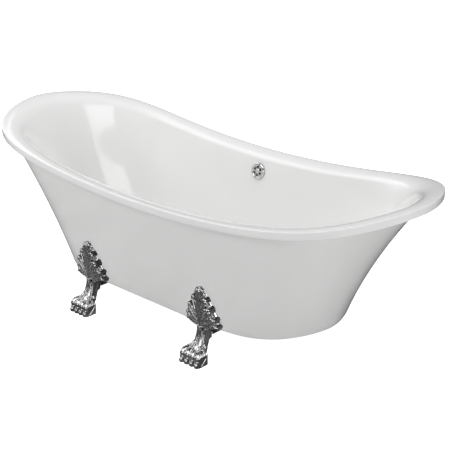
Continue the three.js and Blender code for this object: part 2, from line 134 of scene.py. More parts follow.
class Shader:
    """A node material under construction, with short calls for the nodes that it uses."""

    def __init__(self, name, **values):
        self.material = bpy.data.materials.new(name)
        self.material.use_nodes = True
        self.tree = self.material.node_tree
        self.bsdf = self.tree.nodes["Principled BSDF"]
        for key, value in values.items():
            self.bsdf.inputs[key.replace("_", " ")].default_value = value
        self.place = self.tree.nodes.new("ShaderNodeTexCoord").outputs["Object"]

    def node(self, kind, inputs=(), **settings):
        made = self.tree.nodes.new(kind)
        for key, value in settings.items():
            setattr(made, key, value)
        for key, value in dict(inputs).items():
            if isinstance(value, bpy.types.NodeSocket):
                self.tree.links.new(value, made.inputs[key])
            else:
                made.inputs[key].default_value = value
        return made

    def noise(self, scale, detail=3.0, rough=0.5, stretch=(1, 1, 1), distortion=0.0):
        mapped = self.node("ShaderNodeMapping", {"Vector": self.place, "Scale": stretch})
        values = {"Vector": mapped.outputs[0], "Scale": scale, "Detail": detail, "Roughness": rough,
                  "Distortion": distortion}
        return self.node("ShaderNodeTexNoise", values).outputs[0]

    def cells(self, scale):
        values = {"Vector": self.place, "Scale": scale}
        return self.node("ShaderNodeTexVoronoi", values).outputs[0]

    def ramp(self, source, low, high, a=0.0, b=1.0):
        values = {"Value": source, "From Min": a, "From Max": b, "To Min": low, "To Max": high}
        return self.node("ShaderNodeMapRange", values).outputs[0]

    def blend(self, share, first, second):
        inputs = {0: share, 6: first, 7: second}
        return self.node("ShaderNodeMix", inputs, data_type="RGBA").outputs[2]

    def colour(self, share, first, second):
        blend = self.blend(share, first, second)
        self.tree.links.new(blend, self.bsdf.inputs["Base Color"])

    def rough(self, marks, low, high):
        ramp = self.ramp(marks, low, high, 0.3, 0.7)
        self.tree.links.new(ramp, self.bsdf.inputs["Roughness"])

    def bump(self, source, strength, distance):
        values = {"Height": source, "Strength": strength, "Distance": distance}
        made = self.node("ShaderNodeBump", values)
        self.tree.links.new(made.outputs[0], self.bsdf.inputs["Normal"])


def grey(value):
    return (value, value, value, 1)


def acrylic(name, tint):
    s = Shader(name, IOR=1.49, Coat_Weight=0.5, Coat_Roughness=0.03)
    cloud = s.noise(2.3, 4.0)
    deep = tuple(c * 0.985 for c in tint[:3]) + (1,)
    s.colour(s.ramp(cloud, 0, 1, 0.35, 0.65), tint, deep)
    s.rough(s.noise(9.0, 5.0, 0.6), 0.10, 0.16)
    return s.material


def chrome(name, bright, painted_crevice_shade, low, high, relief=0.08):
    """Polished plating with fine polishing marks, and painted shade: its colour turns darker and
    duller in crevices, by ambient occlusion.
    """
    s = Shader(name, Metallic=1.0)
    # Painted shade: ambient occlusion darkens the colour towards the crevice tone.
    hollow = s.node("ShaderNodeAmbientOcclusion", {"Distance": 0.012}, samples=8).outputs["AO"]
    s.colour(s.ramp(hollow, 0, 1, 0.25, 0.85), painted_crevice_shade, bright)
    marks = s.noise(160.0, 4.0, 0.7, (1, 1, 0.25))
    s.rough(marks, low, high)
    s.bump(s.noise(90.0, 3.0), relief, 0.0006)
    return s.material


def powder_coat(name):
    s = Shader(name, Specular_IOR_Level=0.45)
    s.colour(s.noise(40.0), grey(0.010), grey(0.022))
    s.rough(s.noise(300.0), 0.42, 0.60)
    s.bump(s.cells(900.0), 0.35, 0.0003)
    return s.material


def zinc(name):
    s = Shader(name, Metallic=1.0)
    s.colour(s.cells(260.0), (0.50, 0.50, 0.49, 1), (0.66, 0.65, 0.61, 1))
    s.rough(s.noise(180.0), 0.26, 0.44)
    s.bump(s.noise(700.0), 0.15, 0.0002)
    return s.material


def rubber(name, tone, rough):
    s = Shader(name, Specular_IOR_Level=0.3)
    s.colour(s.noise(70.0), grey(tone), grey(tone * 1.35))
    s.rough(s.noise(220.0), rough - 0.08, rough + 0.08)
    s.bump(s.noise(1200.0), 0.25, 0.0002)
    return s.material


def plastic(name):
    s = Shader(name, IOR=1.5)
    s.colour(s.noise(18.0), (0.60, 0.60, 0.58, 1), (0.66, 0.66, 0.64, 1))
    s.rough(s.noise(140.0), 0.34, 0.5)
    s.bump(s.noise(800.0), 0.12, 0.0002)
    return s.material


def chipboard(name):
    s = Shader(name, Specular_IOR_Level=0.25)
    chips = s.blend(s.cells(210.0), (0.20, 0.12, 0.05, 1), (0.46, 0.31, 0.16, 1))
    s.colour(s.noise(120.0, 5.0), chips, (0.36, 0.24, 0.12, 1))
    s.rough(s.noise(90.0), 0.62, 0.85)
    s.bump(s.cells(210.0), 0.5, 0.0006)
    return s.material


def brass(name):
    s = Shader(name, Metallic=1.0)
    s.colour(s.noise(34.0, 5.0), (0.66, 0.46, 0.20, 1), (0.52, 0.36, 0.16, 1))
    s.rough(s.noise(150.0), 0.24, 0.42)
    s.bump(s.noise(500.0), 0.12, 0.0002)
    return s.material


# Finish of each material slot in the record
FINISHES = {
    "basin_acrylic": acrylic("basin_gloss_acrylic", (0.86, 0.86, 0.855, 1)),
    # The skirt's acrylic is a darker copy of the basin's: painted shade, for the skirt's outer face
    # standing in less light.
    "skirt_acrylic": acrylic("skirt_gloss_acrylic", (0.80, 0.80, 0.795, 1)),
    "white_seal": rubber("white_silicone", 0.62, 0.45),
    "board": chipboard("resin_coated_board"),
    # The second tone of each chrome is painted shade, for its crevices.
    "cast_chrome": chrome("polished_cast_chrome", grey(0.57), grey(0.13), 0.025, 0.05, 0.03),
    "chrome": chrome("bright_chrome", grey(0.72), grey(0.25), 0.05, 0.11, 0.02),
    "black_steel": powder_coat("black_powder_coat"),
    "zinc_steel": zinc("zinc_plated_steel"),
    "black_rubber": rubber("black_rubber", 0.02, 0.75),
    "grey_plastic": plastic("grey_moulded_plastic"),
    "brass": brass("plain_brass"),
}


# ---- meshes

def mesh_from(name, points, faces, sharp):
    """A mesh from points in millimetres. Edges sharper than the angle stay crisp."""
    mesh = bpy.data.meshes.new(name)
    mesh.from_pydata((np.asarray(points, float) * MM).tolist(), [], [list(f) for f in faces])
    mesh.update()
    mesh.shade_smooth()
    mesh.set_sharp_from_angle(angle=math.radians(sharp))
    return mesh


def placed(name, data):
    """A new object in the scene."""
    made = bpy.data.objects.new(name, data)
    bpy.context.scene.collection.objects.link(made)
    return made


def show(name, mesh, slot_name, node, matrix=None, body="tub"):
    """Shows a mesh as a piece with a slot's finish, riding on a body in place of a CAD node."""
    piece = placed(name, mesh)
    if matrix is not None:
        piece.matrix_world = matrix
    if not mesh.materials:
        mesh.materials.append(FINISHES[slot_name])
    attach(piece, body)
    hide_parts(node)
    return piece


def loft_faces(rings, count, closed):
    """Quads between each ring and the next; a closed loft joins the last ring to the first."""
    faces = []
    for i in range(rings if closed else rings - 1):
        low = i * count
        high = ((i + 1) % rings) * count
        for k in range(count):
            m = (k + 1) % count
            faces.append((low + k, low + m, high + m, high + k))
    return faces


def turned_points(outline, segments):
    """Points and faces of a solid of revolution about Z from a closed [radius, height] outline."""
    area = 0
    for (r0, z0), (r1, z1) in zip(outline, outline[1:] + outline[:1]):
        area += r0 * z1 - z0 * r1
    if area < 0:
        outline = outline[::-1]
    points, rows, faces = [], [], []
    for r, z in outline:
        if r <= 0:
            rows.append([len(points)] * segments)
            points.append((0, 0, z))
            continue
        rows.append(list(range(len(points), len(points) + segments)))
        for k in range(segments):
            a = 2 * math.pi * k / segments
            points.append((r * math.cos(a), r * math.sin(a), z))
    for i, row in enumerate(rows):
        after = rows[(i + 1) % len(rows)]
        for k in range(segments):
            m = (k + 1) % segments
            face = [row[k], row[m], after[m], after[k]]
            kept = [v for j, v in enumerate(face) if v != face[j - 1]]
            if len(set(kept)) >= 3:
                faces.append(kept)
    return points, faces


def rounded(outline, radius, steps=3):
    """The outline with each corner rounded, apart from corners on the axis."""
    made = []
    for i, (r, z) in enumerate(outline):
        here = np.array([r, z], float)
        before = np.array(outline[i - 1], float) - here
        after = np.array(outline[(i + 1) % len(outline)], float) - here
        reach = min(radius, 0.4 * np.linalg.norm(before), 0.4 * np.linalg.norm(after))
        if r <= 0 or reach < 0.05:
            made.append((r, z))
            continue
        start = here + before / np.linalg.norm(before) * reach
        end = here + after / np.linalg.norm(after) * reach
        for s in range(steps + 1):
            t = s / steps
            p = start * (1 - t) ** 2 + here * 2 * t * (1 - t) + end * t * t
            made.append((float(p[0]), float(p[1])))
    return made


def turned(name, outlines, segments, radius):
    """A mesh of one or more turned bodies about Z, in millimetres, with rounded corners."""
    points, faces = [], []
    for outline in outlines:
        p, f = turned_points(rounded(list(outline), radius), segments)
        faces += [[v + len(points) for v in face] for face in f]
        points += p
    return mesh_from(name, points, faces, sharp=50)


def block(size, centre, edge):
    """A box with rounded edges, in millimetres."""
    bm = bmesh.new()
    bmesh.ops.create_cube(bm, size=1)
    bmesh.ops.scale(bm, vec=Vector(size) * MM, verts=bm.verts)
    bmesh.ops.translate(bm, vec=Vector(centre) * MM, verts=bm.verts)
    bmesh.ops.bevel(bm, geom=bm.edges[:], offset=edge * MM, segments=3, profile=0.5, affect="EDGES")
    mesh = bpy.data.meshes.new("block")
    bm.to_mesh(mesh)
    bm.free()
    return mesh


def bar(name, rows, segments=72, closed=False, matrix=None):
    """A solid along Z from rows of (radius, height, width across flats, or 0 where it's round).

    A closed bar's last row joins its first, which leaves a bore.
    """
    angles = 2 * math.pi * np.arange(segments) / segments
    points = []
    for radius, height, flats in rows:
        reach = np.full(segments, float(radius))
        if flats:
            from_flat = (angles + math.pi / 6) % (math.pi / 3) - math.pi / 6
            reach = np.minimum(reach, flats / 2 / np.cos(from_flat))
        points += [(d * math.cos(a), d * math.sin(a), height) for d, a in zip(reach, angles)]
    faces = loft_faces(len(rows), segments, closed)
    if not closed:
        last = len(points) - segments
        faces += [tuple(range(segments))[::-1], tuple(range(last, last + segments))]
    mesh = mesh_from(name, points, faces, sharp=35)
    if matrix is not None:
        mesh.transform(matrix)
    return mesh


def solved(mesh, tools, operation):
    """The mesh after a union with each tool, or with each tool cut out of it."""
    piece = placed("work", mesh)
    for tool in tools:
        other = placed("tool", tool)
        modifier = piece.modifiers.new("solve", "BOOLEAN")
        modifier.object = other
        modifier.operation = operation
        modifier.solver = "EXACT"
        bpy.context.view_layer.update()
        evaluated = piece.evaluated_get(bpy.context.evaluated_depsgraph_get())
        made = bpy.data.meshes.new_from_object(evaluated)
        piece.modifiers.clear()
        piece.data = made
        bpy.data.objects.remove(other)
    made = piece.data
    bpy.data.objects.remove(piece)
    made.shade_smooth()
    made.set_sharp_from_angle(angle=math.radians(35))
    return made


def drill(radius, low, high, matrix=None):
    """A plain round cutter along Z, in millimetres."""
    return bar("drill", [(radius, low, 0), (radius, high, 0)], 48, False, matrix)


def moved(x, y, z):
    return Matrix.Translation((x * MM, y * MM, z * MM))


def turned_to(axis, x, y, z):
    """A frame at x, y, z in millimetres, with its +Z along +Y or -Y."""
    return moved(x, y, z) @ Matrix.Rotation(math.radians(-90 if axis == "+Y" else 90), 4, "X")


# ---- outline rings

def outline(t, p, q):
    """Points of the unit outline at angles t, for the exponents p along and q across."""
    v = np.sin(t)
    e = TIP_BLEND
    across = ((v * v + e * e) ** (q / 2) - e ** q) / ((1 + e * e) ** (q / 2) - e ** q)
    u = np.sign(np.cos(t)) * np.maximum(0, 1 - across) ** (1 / p)
    return u, v


def even_angles(count):
    """Angles that space the points of the rim evenly along its length."""
    t = np.linspace(0, 2 * np.pi, 40001)
    u, v = outline(t, RIM_P, RIM_Q)
    steps = np.hypot(np.diff(u) * HALF_L, np.diff(v) * HALF_W)
    length = np.concatenate([[0], np.cumsum(steps)])
    return np.interp(np.arange(count) * length[-1] / count, length, t)


ANGLES = even_angles(RING_POINTS)


def below(drop, more=0):
    """Height below the rim's line, with a further drop towards the two ends."""
    return lambda u: MID_HEIGHT + END_RISE * u * u - drop - more * u * u


def level(z):
    return lambda u: z + 0 * u


def between(low, high, share):
    return lambda u: low(u) * (1 - share) + high(u) * share


def ring(a, b, z, p=RIM_P, q=RIM_Q):
    u, v = outline(ANGLES, p, q)
    return np.stack([a * u, b * v, z(u)], 1)


def rim_ring(inset, drop, end_inset=None):
    end = inset if end_inset is None else end_inset
    return ring(HALF_L - end, HALF_W - inset, below(drop))


def bezier(rings, t):
    rows = list(rings)
    while len(rows) > 1:
        rows = [a * (1 - t) + b * t for a, b in zip(rows, rows[1:])]
    return rows[0]


def sweep(rings, steps):
    return [bezier(rings, i / steps) for i in range(steps + 1)]


def wall_controls(growth, sink):
    """Control rings of the basin's wall, from the foot of the rim's roll down to the flat floor."""
    g = growth
    bottom = level(FLOOR_Z - sink)

    def top(u):
        return below(ROLL_DROP + 11 * u * u + sink / 2)(u)

    return [
        ring(795 + g, 284.5 + g, top),
        ring(682 + g, 252.5 + g, between(bottom, top, 0.635), 6.4),
        ring(600 + g, 232 + g, bottom, 4.6, 1.7),
        ring(FLOOR_HALF_L, FLOOR_HALF_W, bottom, 3.4, 2),
    ]


def skirt_controls(inset):
    mid = (SKIRT_BASE[0] + 92, (SKIRT_BASE[1] + SKIRT_TOP[1]) / 2)
    base = level(SKIRT_BASE_Z + 9)
    top = below(SKIRT_TOP_DROP)
    return [
        ring(SKIRT_BASE[0] + 2 - inset, SKIRT_BASE[1] + 1 - inset, base, SKIRT_BASE_P),
        ring(mid[0] - inset, mid[1] - inset, between(base, top, 0.5), 6.9),
        ring(SKIRT_TOP[0] - inset, SKIRT_TOP[1] - inset, top),
    ]


def shell_mesh(name, rings):
    """A closed loft through rings, with its faces turned outwards."""
    points = np.concatenate(rings)
    faces = loft_faces(len(rings), RING_POINTS, True)
    a, b, c, d = (points[[f[i] for f in faces]] for i in range(4))
    volume = (a * np.cross(b, c)).sum() + (a * np.cross(c, d)).sum()
    if volume < 0:
        faces = [f[::-1] for f in faces]
    return mesh_from(name, points, faces, sharp=50)


def circle(radius, z):
    return ring(radius, radius, level(z), 2, 2)


def basin_mesh():
    wall = sweep(wall_controls(0, 0), 56)[::-1]
    floor = [wall[0] * (1 - s) + circle(DRAIN_SEAT_R, SEAT_Z) * s for s in (1, 0.8, 0.6, 0.4, 0.2)]
    crown = ring(824.7, 302, below(8.4, 3.1))
    bend = sweep([wall_controls(0, 0)[0], ring(807.3, 288.3, below(13.1, 7.8)), crown], 16)
    roll = bend + sweep([crown, ring(846, 325.8, below(0.2)), rim_ring(5, 0)], 12)[1:]
    lip = sweep([rim_ring(4, 0), rim_ring(0, 0), rim_ring(0, 4)], 6)
    turn = ((0, 0.9), (0.3, 0.2), (1, 0))
    edge = [rim_ring(inset, BAND_HEIGHT - up) for inset, up in turn]
    channel = [
        rim_ring(RIM_WALL - 1, BAND_HEIGHT),
        rim_ring(RIM_WALL, BAND_HEIGHT - 1),
        rim_ring(RIM_WALL, 9.5),
        rim_ring(8, 6.2, 12),
        rim_ring(12, 6.3, 30),
        rim_ring(19, 7.3, 37),
    ]
    controls = wall_controls(6, FLOOR_Z - UNDERSIDE_Z)
    under = sweep([rim_ring(26, 11, 42), ring(829, 300, below(15, 2)), controls[0]], 8)
    back = under + sweep(controls, 40)[1:]
    hole = [circle(DRAIN_HOLE_R, UNDERSIDE_Z), circle(DRAIN_HOLE_R, SEAT_Z)]
    return shell_mesh("tub_basin", floor + wall[1:] + roll[1:] + lip + edge + channel + back + hole)


def skirt_mesh():
    def edge(inset, z):
        a, b = SKIRT_BASE
        return ring(a - inset, b - inset, level(SKIRT_BASE_Z + z), SKIRT_BASE_P)

    outside = sweep(skirt_controls(0), 48)[::-1]
    turn = sweep([edge(0.6, 5), edge(0.9, 0.2), edge(8, 0)], 6)
    flange = [
        edge(8 + FLANGE_DEPTH - 0.8, 0),
        edge(8 + FLANGE_DEPTH, 0.8),
        edge(8 + FLANGE_DEPTH, SKIRT_WALL),
        edge(8, SKIRT_WALL),
    ]
    return shell_mesh("tub_skirt", outside + turn + flange + sweep(skirt_controls(SKIRT_WALL), 30))


def seal_mesh():
    def at(inset, drop):
        return ring(SKIRT_TOP[0] + 1 - inset, SKIRT_TOP[1] + 1 - inset, below(drop))

    low = SKIRT_TOP_DROP - GAP
    high = SEAL_TOP_DROP
    bulge = (low + high) / 2
    outside = [at(0.3, low), at(-0.3, bulge), at(0.3, high)]
    return shell_mesh("seal_bead", outside + [at(SEAL_WIDTH, high), at(SEAL_WIDTH, low)])


def overflow_frame():
    """Frame of the overflow in metres: origin on the basin's inner wall, +Z into the basin."""
    controls = [c[RING_POINTS // 4] for c in wall_controls(0, 0)]
    origin = Vector(bezier(controls, OVERFLOW_T)) * MM
    above, under = (bezier(controls, OVERFLOW_T + step) for step in (-0.02, 0.02))
    down = Vector(under - above).normalized()
    along = Vector((1, 0, 0))
    inward = down.cross(along).normalized()
    basis = Matrix((down, along, inward)).transposed().to_4x4()
    return Matrix.Translation(origin) @ basis


OVERFLOW = overflow_frame()


# ---- modelling clay

def smooth_min(a, b, soft):
    h = np.clip(0.5 + 0.5 * (a - b) / soft, 0, 1)
    return a * (1 - h) + b * h - soft * h * (1 - h)


def round_box(qx, qy, qz, radius):
    """Distance to a box with rounded edges, from the distances past its three pairs of faces."""
    outside = np.sqrt(np.maximum(qx, 0) ** 2 + np.maximum(qy, 0) ** 2 + np.maximum(qz, 0) ** 2)
    return outside + np.minimum(np.maximum(np.maximum(qx, qy), qz), 0) - radius


def on_side(side, points):
    return [(side * x, y, z) for x, y, z in points]


class Clay:
    """A distance field on a grid, in millimetres, built up from shapes that blend together."""

    def __init__(self, low, high, step):
        self.low = np.array(low, float)
        self.step = step
        self.axes = [np.arange(a, b + step, step) for a, b in zip(low, high)]
        self.field = np.full([len(a) for a in self.axes], 40.0, np.float32)

    def window(self, low, high):
        part, grids = [], []
        for axis, (a, b) in enumerate(zip(low, high)):
            values = self.axes[axis]
            start, stop = np.searchsorted(values, a), np.searchsorted(values, b)
            part.append(slice(start, stop))
            shape = [1, 1, 1]
            shape[axis] = -1
            grids.append(values[start:stop].reshape(shape).astype(np.float32))
        return tuple(part), grids

    def add(self, low, high, distance, soft, carve=False):
        margin = soft + 2 * self.step
        part, (x, y, z) = self.window(np.array(low) - margin, np.array(high) + margin)
        old = self.field[part]
        if old.size == 0:
            return
        new = np.broadcast_to(distance(x, y, z), old.shape)
        if carve:
            self.field[part] = -smooth_min(-old, new, soft)
        else:
            self.field[part] = smooth_min(old, new, soft)

    def ball(self, centre, radii, soft):
        c = np.array(centre, float)
        r = np.array(radii, float) * np.ones(3)

        def distance(x, y, z):
            sides = [(v - c[i]) / r[i] for i, v in enumerate((x, y, z))]
            k = np.sqrt(sides[0] ** 2 + sides[1] ** 2 + sides[2] ** 2)
            slopes = [(v - c[i]) / r[i] ** 2 for i, v in enumerate((x, y, z))]
            g = np.sqrt(slopes[0] ** 2 + slopes[1] ** 2 + slopes[2] ** 2)
            return k * (k - 1) / np.maximum(g, 1e-6)

        self.add(c - r, c + r, distance, soft)

    def limb(self, points, radii, soft, carve=False, warp=None, backed=False):
        """A chain of tapered rods. warp(x, y, z) gives the coordinates in which they're round.

        A backed chain also fills everything behind it.
        """
        p = np.array(points, float)
        r = np.array(radii, float) * np.ones(len(p))

        def distance(x, y, z):
            if warp:
                x, y, z = warp(x, y, z)
            best = None
            for i in range(len(p) - 1):
                a, d = p[i], p[i + 1] - p[i]
                t = ((x - a[0]) * d[0] + (y - a[1]) * d[1] + (z - a[2]) * d[2]) / float(d @ d)
                t = np.clip(t, 0, 1)
                over = y - a[1] - t * d[1]
                if backed:
                    over = np.maximum(over, 0)
                gap = np.sqrt((x - a[0] - t * d[0]) ** 2 + over ** 2 + (z - a[2] - t * d[2]) ** 2)
                gap = gap - (r[i] * (1 - t) + r[i + 1] * t)
                best = gap if best is None else np.minimum(best, gap)
            return best

        low, high = p.min(0) - r.max(), p.max(0) + r.max()
        if warp:
            low[1], high[1] = self.axes[1][0], self.axes[1][-1]
        self.add(low, high, distance, soft, carve)

    def ball_at(self, centre, radius, warp):
        """A ball in warped coordinates."""
        ends = [centre - (0, 0, 0.1), centre + (0, 0, 0.1)]
        self.limb(ends, [radius, radius], 0.8, False, warp, True)

    def mesh(self, name):
        """The zero surface as quads: one vertex for each grid cell that it crosses."""
        f = self.field
        inside = f < 0
        shape = np.array(f.shape)
        corner = [(i, j, k) for i in (0, 1) for j in (0, 1) for k in (0, 1)]

        def view(a, c):
            spans = tuple(slice(c[i], shape[i] - 1 + c[i]) for i in range(3))
            return a[spans]

        count = sum(view(inside, c).astype(np.int8) for c in corner)
        cells = np.argwhere((count > 0) & (count < 8))
        number = np.full(shape - 1, -1, np.int64)
        number[tuple(cells.T)] = np.arange(len(cells))
        total = np.zeros((len(cells), 3))
        hits = np.zeros(len(cells))
        for a in corner:
            for axis in range(3):
                if a[axis]:
                    continue
                b = list(a)
                b[axis] = 1
                fa = f[tuple((cells + a).T)].astype(float)
                fb = f[tuple((cells + b).T)].astype(float)
                cross = (fa < 0) != (fb < 0)
                t = np.where(cross, fa / np.where(cross, fa - fb, 1), 0)
                spot = np.array(a, float) + np.outer(t, np.array(b) - np.array(a))
                total += np.where(cross[:, None], spot, 0)
                hits += cross
        points = self.low + self.step * (cells + total / hits[:, None])
        faces = []
        for axis in range(3):
            u, v = (axis + 1) % 3, (axis + 2) % 3
            here = [slice(1, n - 1) for n in shape]
            here[axis] = slice(0, shape[axis] - 1)
            there = list(here)
            there[axis] = slice(1, shape[axis])
            a, b = inside[tuple(here)], inside[tuple(there)]
            for wanted, forward in ((a & ~b, True), (b & ~a, False)):
                spots = np.argwhere(wanted) + [s.start for s in here]
                du, dv = np.eye(3, dtype=int)[u], np.eye(3, dtype=int)[v]
                quad = [spots - du - dv, spots - dv, spots, spots - du]
                quad = np.stack([number[tuple(q.T)] for q in quad], 1)
                faces.append(quad if forward else quad[:, ::-1])
        return quad_mesh(name, points, np.concatenate(faces))


def quad_mesh(name, points, quads):
    mesh = bpy.data.meshes.new(name)
    mesh.vertices.add(len(points))
    mesh.vertices.foreach_set("co", (points * MM).astype(np.float32).ravel())
    mesh.loops.add(quads.size)
    mesh.loops.foreach_set("vertex_index", quads.astype(np.int32).ravel())
    mesh.polygons.add(len(quads))
    mesh.polygons.foreach_set("loop_start", np.arange(0, quads.size, 4, dtype=np.int32))
    mesh.update(calc_edges=True)
    mesh.validate()
    mesh.shade_smooth()
    return mesh


# ---- claw foot

# Height, half width, back and front distance out from the long axis, squareness, widest share.
CORE = np.array([
    [0, 24, 316, 340, 4, 0.5], [40, 24, 306, 338, 4, 0.5], [50, 22, 297, 326, 4, 0.5],
    [62, 20, 287, 314, 4.5, 0.5], [86, 18.5, 277, 305, 5, 0.5], [108, 20, 270, 299, 5, 0.5],
    [119, 34, 267, 300, 2.6, 0.3], [130, 62, 268, 301, 2.2, 0.15], [158, 56, 274, 302, 2, 0.12],
    [184, 45, 280, 303, 2, 0.15], [228, 26, 289, 303, 2, 0.2], [250, 14, 294, 302, 2, 0.3],
    [258, 6, 296.5, 300, 2, 0.5],
])


def core_values(z):
    return [np.interp(z, CORE[:, 0], CORE[:, i]) for i in range(1, 6)]


def back_limit(z):
    """Distance out from the long axis at which the casting has to stop, clear of the skirt."""
    heights = [0, 101, 104, 130, 156, 184, 228, 250, 264]
    return np.interp(z, heights, [200, 262, 264, 269.5, 274, 280, 289, 293.5, 297])


def leaf_surface(x, z):
    """Distance out of the leaf's front surface at x and z."""
    half, back, front = core_values(z)[:3]
    s = np.clip(np.abs(x) / np.maximum(half * 1.25, 1), 0, 1)
    return back + (front - back) * (0.12 + 0.88 * np.sqrt(1 - s ** 2.2))


def leaf_warp(flat):
    """Coordinates in which a rod lies flattened on the leaf's front surface."""
    def warp(x, y, z):
        lift = (-y - leaf_surface(x, z)) * flat
        return x + 0 * lift, lift, z + 0 * lift
    return warp


LEAF_FLATNESS = 1.5  # how much flatter than round the leaf's rods lie
# Each lobe of the leaf, on one side: points (x, height, lift) from the knee to its tip, and radii.
LOBES = [
    ([(8, 124, -3), (28, 121, -1), (46, 124, 1), (60, 130, 3)], [8, 12, 13, 8]),
    ([(8, 132, 0), (24, 139, 3), (40, 149, 5), (54, 156, 7)], [7, 12, 13, 8]),
    ([(6, 142, 4), (18, 158, 8), (30, 176, 11), (39, 190, 12)], [6, 12, 14, 8]),
    ([(5, 158, 5), (11, 182, 8), (18, 204, 9), (24, 221, 10)], [5, 9, 10, 7]),
]
STEM = ([(0, 118, 1), (0, 150, 5), (0, 190, 8), (0, 222, 10), (0, 246, 8)], [6, 6.5, 7.5, 9, 10])


def foot_mesh():
    clay = Clay((-82, -368, -2), (82, -258, 270), 1.25)

    def core(x, y, z):
        half, back, front, square, widest = core_values(z)
        middle = back + (front - back) * widest
        out = -y - middle
        reach = np.where(out > 0, front - middle, middle - back)
        norm = ((np.abs(x) / half) ** square + (np.abs(out) / reach) ** square) ** (1 / square)
        return np.maximum((norm - 1) * np.minimum(half, reach), z - CORE[-1, 0])

    clay.add((-70, -345, 0), (70, -262, 263), core, 1.5)
    paw(clay)
    ankle(clay)
    leaf(clay)
    x, y, z = clay.window((-90, -380, -10), (90, -250, 280))[1]
    for limit in (back_limit(z) + y + 0 * x, PAW_GAP - z):
        limit = np.broadcast_to(limit, clay.field.shape)
        clay.field = np.maximum(clay.field, limit).astype(np.float32)
    recess = PAD_R + 1.5
    clay.limb([(0, -LEVELLER_OUT, -20), (0, -LEVELLER_OUT, PAD_TOP - recess)], recess, 0.3, True)
    clay.limb([(0, -LEVELLER_OUT, -5), (0, -LEVELLER_OUT, 34)], 4.8, 0.3, True)
    return clay.mesh("claw_foot")


def paw(clay):
    """A square-sided paw with four toes, each with a knuckle above a blunt claw."""
    def body(x, y, z):
        out = -y
        top = 48 - 0.008 * np.maximum(out - 322, 0) ** 2 - 0.002 * x * x
        qx = np.abs(x) - (43.5 - 3)
        qy = np.maximum(out - (353 - 4), (311 + 4) - out)
        qz = np.maximum(z - (top - 4), (PAW_GAP + 3) - z)
        return round_box(qx, qy, qz, 3)

    clay.add((-46, -357, 0), (46, -308, 51), body, 1.0)
    # Instep that rises from the knuckles to the ankle
    clay.limb([(0, -330, 38), (0, -314, 50), (0, -302, 62)], [16, 16, 15], 7.0)
    for x in (-32.7, -10.9, 10.9, 32.7):
        clay.limb([(x * 0.72, -320, 44), (x * 0.9, -334, 45), (x, -345, 40)], [6.4, 7.6, 9], 1.0)
        clay.ball((x, -349, 35), (11, 10.6, 10.6), 1.2)
        clay.limb([(x, -350, 22), (x, -352, 9)], [9.4, 9.8], 1.2)
        clay.ball((x, -359, 12), (6.4, 6.2, 9.5), 1.0)
        cuticle = [(x - 10, -358, 24), (x, -362, 25), (x + 10, -358, 24)]
        clay.limb(cuticle, [1.2, 1.8, 1.2], 0.8, True)
        crease = [(x - 8, -336, 54), (x, -338, 55.5), (x + 8, -336, 54)]
        clay.limb(crease, [1.8, 2.6, 1.8], 0.8, True)
    for x in (-21.8, 0, 21.8):
        crease = [(x * 0.8, -324, 55), (x, -344, 51), (x, -362, 37), (x, -364, -4)]
        clay.limb(crease, [1.6, 2.4, 2.8, 2.8], 0.8, True)
    # A groove up each side, and a row of tufts along its top
    for side in (-1, 1):
        groove = [(44.4, -351, 5), (44.4, -338, 14), (44.4, -324, 28), (44.4, -312, 44)]
        clay.limb(on_side(side, groove), [1.5, 2.2, 2.4, 1.8], 0.8, True)
        for k in range(4):
            tuft = [(40, -316 - 8 * k, 46), (42.6, -320 - 8 * k, 39)]
            clay.limb(on_side(side, tuft), [3.4, 2.2], 0.8)
            tuft = [(22 - 2 * k, -322 - 6 * k, 52 - k), (34, -318 - 6 * k, 47)]
            clay.limb(on_side(side, tuft), [2.6, 2.2], 0.8)


def ankle(clay):
    """Two tendons down the front of a square shank, with a hollow in each side of it."""
    front = [(5.5, -303, 122), (6, -304, 106), (7.5, -308, 84), (10, -318, 62), (15, -331, 49)]
    middle = [(16, -296, 118), (15, -299, 96), (16.5, -306, 72), (25, -321, 51)]
    rear = [(20, -273, 118), (18.5, -279, 96), (18.5, -287, 72), (23, -300, 50)]
    hollow = [(44, -285, 112), (43, -290, 86), (44, -299, 60)]
    spread = [(16, -301, 60), (27, -306, 49), (36, -318, 46)]
    furrow = [(11.5, -305, 112), (12, -309, 84), (15, -323, 58)]
    for side in (-1, 1):
        clay.limb(on_side(side, front), [2.2, 2.6, 3.0, 3.6, 5], 0.8)
        clay.limb(on_side(side, middle), [3.0, 3.4, 3.6, 4.5], 2.0)
        clay.limb(on_side(side, rear), [4.5, 4.2, 4.6, 7], 1.4)
        clay.limb(on_side(side, hollow), [24.5, 24.6, 23.4], 1.0, True)
        clay.limb(on_side(side, spread), [5, 5.5, 5], 3.0)
        clay.limb(on_side(side, furrow), [2.0, 2.6, 2.8], 1.2, True)
    clay.limb([(0, -308, 112), (0, -311, 84), (0, -322, 60)], [2.2, 3.2, 4.0], 0.8, True)

    def boss(x, y, z):
        qx = np.abs(x) - 17
        qy = np.abs(-y - 284) - 10
        return round_box(qx, qy, np.abs(z - FOOT_BOLT_Z) - 13, 2)

    clay.add((-19, -296, 72), (19, -272, 103), boss, 2.0)


def petal(clay, line, radii, warp):
    """One lobe of the leaf: a blade with a rib between two furrows, and a curled end."""
    clay.limb(line, radii, 0.8, False, warp, True)
    axis = line[-1] - line[0]
    away = np.array([-axis[2], 0, axis[0]]) / math.hypot(axis[0], axis[2])
    lift = np.array([0, 1, 0])
    for side in (-1, 1):
        furrow = [c + (0.82 * r) * lift + side * 0.52 * r * away for c, r in zip(line, radii)]
        depths = [share * r for share, r in zip((0.3, 0.4, 0.42, 0.3), radii)]
        clay.limb(furrow, depths, 1.0, True, warp)
    ahead = (line[-1] - line[-2]) / np.linalg.norm(line[-1] - line[-2])
    tip, end = line[-1], radii[-1]
    clay.ball_at(tip + 0.3 * end * ahead + 0.75 * end * lift, 0.72 * end, warp)
    for offset in (-0.9, 0.9):
        centre = tip + offset * end * away - 0.5 * end * ahead + 0.45 * end * lift
        clay.ball_at(centre, 0.6 * end, warp)


